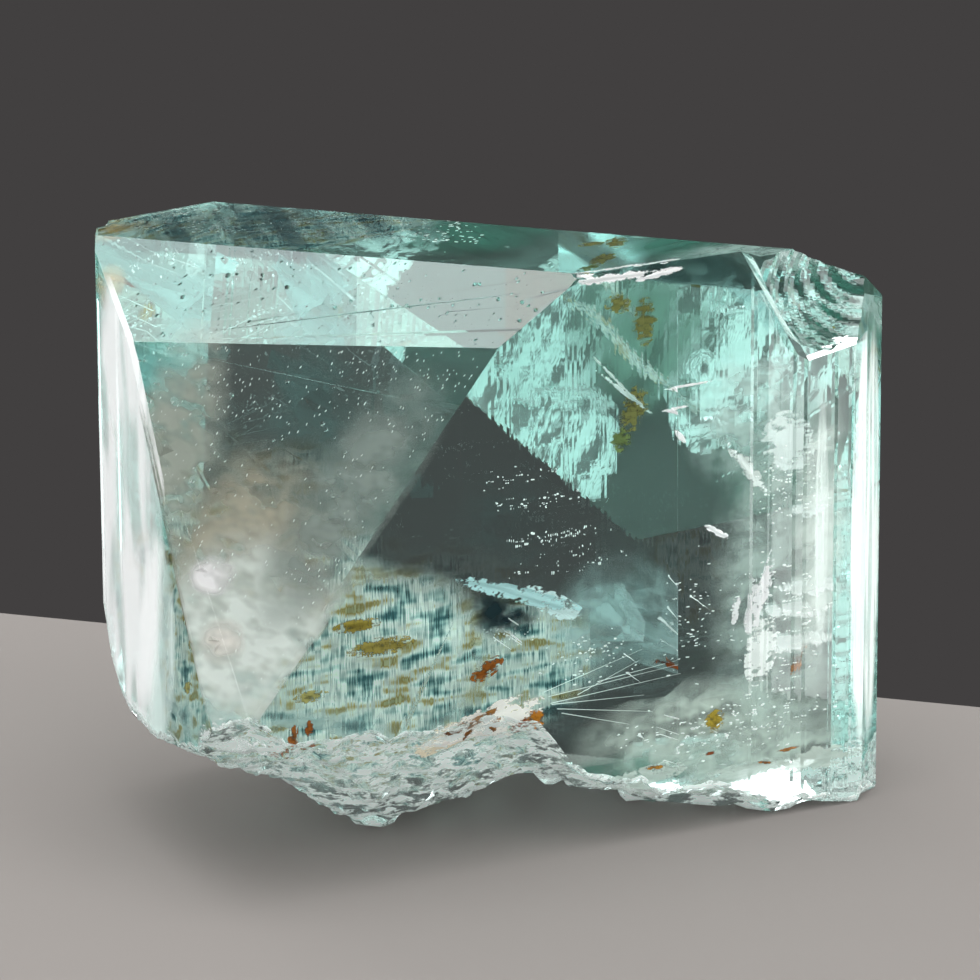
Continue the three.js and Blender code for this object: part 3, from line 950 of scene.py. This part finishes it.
# Rust: centre, half width and half height of the even part, spin, tint.
RUST = (
    ((12.7, 7.7, 3.8), (0.72, 0.32), 28, "#a0581c"),
    ((14.0, 5.9, 0.8), (0.42, 0.36), 0, "#c07a22"),
    ((13.4, 5.7, 0.7), (0.4, 0.26), 20, "#8f4a1c"),
    ((3.9, 6.5, 2.8), (0.2, 0.42), 0, "#a8622a"),
    ((4.6, 6.7, 2.9), (0.16, 0.3), 0, "#a45a24"),
    ((3.2, 6.2, 2.6), (0.14, 0.24), 0, "#c07a35"),
    ((20.0, 17.2, 6.2), (0.5, 0.9), -20, "#7f7a48"),
    ((19.4, 16.0, 6.2), (0.42, 0.5), -20, "#74804e"),
    ((19.0, 21.9, 5.2), (0.55, 0.35), -10, "#8d8a50"),
    ((20.3, 20.9, 5.6), (0.45, 0.9), 0, "#84804a"),
    ((20.0, 7.2, 2.0), (0.3, 0.09), 8, "#9c4f22"),
    ((26.4, 6.2, 2.0), (0.16, 0.6), -25, "#b17d52"),
    ((22.6, 4.1, 2.4), (0.4, 0.46), 10, "#b89c3a"),
    ((22.0, 3.0, 1.2), (0.3, 0.08), 0, "#a8552a"),
    ((19.4, 2.9, 0.9), (0.36, 0.09), -6, "#c58a3a"),
    ((25.6, 2.6, 1.0), (0.5, 0.07), 4, "#c08348"),
    ((24.6, 2.2, 1.0), (0.4, 0.06), -8, "#b5743c"),
    ((11.4, 6.3, 0.7), (0.9, 0.14), 22, "#9d6b34"),
    ((10.3, 5.9, 0.6), (0.8, 0.18), 34, "#8c5522"),
    ((12.2, 5.9, 0.6), (0.16, 0.5), -14, "#a8743a"),
    ((11.2, 5.6, 0.6), (0.14, 0.42), -20, "#99642e"),
    ((6.4, 11.9, 9.0), (1.1, 0.3), 0, "#857a4a"),
    ((9.0, 8.6, 7.6), (1.3, 0.34), 0, "#ad9148"),
    ((8.0, 9.6, 7.8), (0.9, 0.26), 0, "#a88a3a"),
    ((5.6, 7.2, 6.6), (0.7, 0.22), 0, "#c4b06a"),
)


class TOPAZ_OT_rust(bpy.types.Operator):
    """Add the grains and films of rust"""

    bl_idname = "topaz.rust"
    bl_label = "Rust"

    def execute(self, context):
        copies = [
            (placement(centre, (wide * RUST_RIM, high * RUST_RIM, 0.03), 0, 0, spin), tint, 0.92, 0.1, index)
            for index, (centre, (wide, high), spin, tint) in enumerate(RUST)
        ]
        join_copies("rust", unit_lens(16, 8), copies, rust_film())
        return {"FINISHED"}


# Needles: root (along, height, depth), length and spin, in a fan.
NEEDLES = (
    ((14.6, 6.8, 1.6), 4.6, 14),
    ((14.8, 6.6, 1.5), 5.4, 8),
    ((14.9, 6.3, 1.5), 5.9, 3),
    ((15.0, 6.2, 1.7), 4.2, -4),
    ((15.2, 6.0, 1.6), 4.4, -11),
    ((15.4, 5.8, 1.5), 3.2, -18),
    ((16.2, 6.4, 1.8), 3.0, 20),
    ((17.0, 6.9, 1.4), 3.6, 5),
)


class TOPAZ_OT_needles(bpy.types.Operator):
    """Add the fan of fine needles"""

    bl_idname = "topaz.needles"
    bl_label = "Needles"

    def execute(self, context):
        along_x = Matrix.Rotation(math.radians(90), 4, "Y")
        thin = 0.018
        copies = [
            plain(placement(root, (length, thin, thin), 0, 0, spin) @ along_x, "#eaf4ef")
            for root, length, spin in NEEDLES
        ]
        join_copies("needles", unit_needle(), copies, solid_inside("white_needle", 0.4, 0.25))
        return {"FINISHED"}


class TOPAZ_OT_studio(bpy.types.Operator):
    """Add the floor, the lights and the camera"""

    bl_idname = "topaz.studio"
    bl_label = "Studio"

    def execute(self, context):
        settings = context.scene.topaz_studio
        card = matt_card()
        # The floor's rear strip, behind the crystal, isn't seen through the stone.
        split = 13
        floor = self.slab("floor", (-800, split), card)
        back = self.slab("floor_back", (split, settings.floor_edge / MM), card)
        floor.visible_glossy = back.visible_glossy = False
        back.visible_transmission = False

        world = bpy.data.worlds.new("dark_studio")
        context.scene.world = world
        world.use_nodes = True
        tree = world.node_tree
        dark = tree.nodes["Background"]
        dark.inputs["Color"].default_value = linear("#424040")
        # Light that the room gives to matt surfaces, also to those inside the stone.
        fill = add_node(tree, "ShaderNodeBackground", values={"Color": linear("#ffffff"), "Strength": 1.25})
        scattered = add_node(tree, "ShaderNodeLightPath").outputs["Diffuse Depth"]
        scattered = math_node(tree, "GREATER_THAN", scattered, 0.5)
        both = add_node(
            tree, "ShaderNodeMixShader", links={0: scattered, 1: dark.outputs[0], 2: fill.outputs[0]}
        )
        tree.links.new(both.outputs[0], tree.nodes["World Output"].inputs["Surface"])
        world.cycles.sampling_method = "NONE"

        self.softbox("top_softbox", (0, -60, 300), (0, 0, 0), 240, 240, 3.6)
        # Level panels side by side, which the gentle dome mirrors as its pale bands.
        for name, low, high, colour, brightness in (
            ("sheen_aqua", -150, -94.5, "#d9eeea", 1.4),
            ("sheen_grey", -94.5, -87.5, "#e8e4f4", 0.9),
            ("sheen_bright", -87.5, -75, "#dffbf8", 3.3),
            ("sheen_warm", -75, -20, "#f6f4ea", 2.8),
        ):
            middle = (low + high) / 2
            panel = self.softbox(name, (middle, -90, 290), (middle, -90, 0), high - low, 90, brightness, colour)
            panel.visible_diffuse = False
        self.softbox("left_softbox", (-160, 120, 90), (0, 0, 10), 120, 160, 3.0)
        self.softbox("right_softbox", (160, -60, 140), (0, 0, 10), 120, 120, 3.0)
        glow = self.softbox("right_card", (26, 11, 12), (0, 11, 12), 26, 24, 2.4)
        glow.visible_diffuse = False

        target = Vector((2.689, -5.976, 16.136)) * MM
        turn = Matrix.Rotation(settings.view_azimuth, 3, "Z")
        tilt = Matrix.Rotation(math.pi / 2 - settings.view_elevation, 3, "X")
        roll = Matrix.Rotation(-settings.view_roll, 3, "Z")
        basis = turn @ tilt @ roll
        camera = bpy.data.objects.new("camera", bpy.data.cameras.new("camera"))
        context.scene.collection.objects.link(camera)
        camera.matrix_world = Matrix.Translation(target + basis.col[2] * settings.view_distance) @ basis.to_4x4()
        camera.data.lens = settings.focal_length
        camera.data.sensor_width = 36
        camera.data.clip_start = 0.01
        context.scene.camera = camera
        context.scene.view_settings.view_transform = "Standard"
        # Enough turns for light to leave the stone, and no more than the clear look needs.
        cycles = context.scene.cycles
        cycles.max_bounces = cycles.transmission_bounces = cycles.glossy_bounces = 8
        cycles.transparent_max_bounces = 12
        cycles.diffuse_bounces = 1
        cycles.use_light_tree = False
        return {"FINISHED"}

    @staticmethod
    def softbox(name, place, aim, width, height, brightness, colour="#ffffff"):
        """A flat soft light; sizes and places are in millimetres, and brightness is the glow of its face."""
        data = bpy.data.lights.new(name, "AREA")
        data.shape = "RECTANGLE"
        data.size = width * MM
        data.size_y = height * MM
        data.energy = brightness * math.pi * data.size * data.size_y
        data.color = linear(colour)[:3]
        light = bpy.data.objects.new(name, data)
        bpy.context.scene.collection.objects.link(light)
        light.location = Vector(place) * MM
        light.rotation_euler = (Vector(place) - Vector(aim)).to_track_quat("Z", "Y").to_euler()
        light.visible_camera = False
        return light

    @staticmethod
    def slab(name, deep, material):
        """A flat slab of floor just under the crystal, from its range along y in millimetres."""
        width, thickness, top = 1200, 6, -0.03
        select_nothing()
        bpy.ops.mesh.primitive_cube_add(size=1)
        slab = bpy.context.active_object
        slab.name = name
        slab.scale = Vector((width, deep[1] - deep[0], thickness)) * MM
        slab.location = Vector((0, sum(deep) / 2, top - thickness / 2)) * MM
        bpy.ops.object.transform_apply(location=True, rotation=True, scale=True)
        slab.data.materials.append(material)
        return slab


# ---- Add-on ----

OPERATORS = (
    TOPAZ_OT_clear_body,
    TOPAZ_OT_veils,
    TOPAZ_OT_stained_fractures,
    TOPAZ_OT_specks,
    TOPAZ_OT_rust,
    TOPAZ_OT_needles,
    TOPAZ_OT_studio,
)


class TOPAZ_PT_build(bpy.types.Panel):
    """Lists the steps that build the crystal"""

    bl_idname = "TOPAZ_PT_build"
    bl_label = "Blue topaz crystal"
    bl_space_type = "VIEW_3D"
    bl_region_type = "UI"
    bl_category = "Topaz"

    def draw(self, context):
        for operator in OPERATORS:
            self.layout.operator(operator.bl_idname)


CLASSES = (TopazBodySettings, TopazStudioSettings, *OPERATORS, TOPAZ_PT_build)


def register():
    for cls in CLASSES:
        bpy.utils.register_class(cls)
    bpy.types.Scene.topaz_body = bpy.props.PointerProperty(type=TopazBodySettings)
    bpy.types.Scene.topaz_studio = bpy.props.PointerProperty(type=TopazStudioSettings)


def unregister():
    del bpy.types.Scene.topaz_studio
    del bpy.types.Scene.topaz_body
    for cls in reversed(CLASSES):
        bpy.utils.unregister_class(cls)


def main():
    register()
    bpy.ops.topaz.clear_body()
    bpy.ops.topaz.veils()
    bpy.ops.topaz.stained_fractures()
    bpy.ops.topaz.specks()
    bpy.ops.topaz.rust()
    bpy.ops.topaz.needles()
    bpy.ops.topaz.studio()


if __name__ == "__main__":
    main()
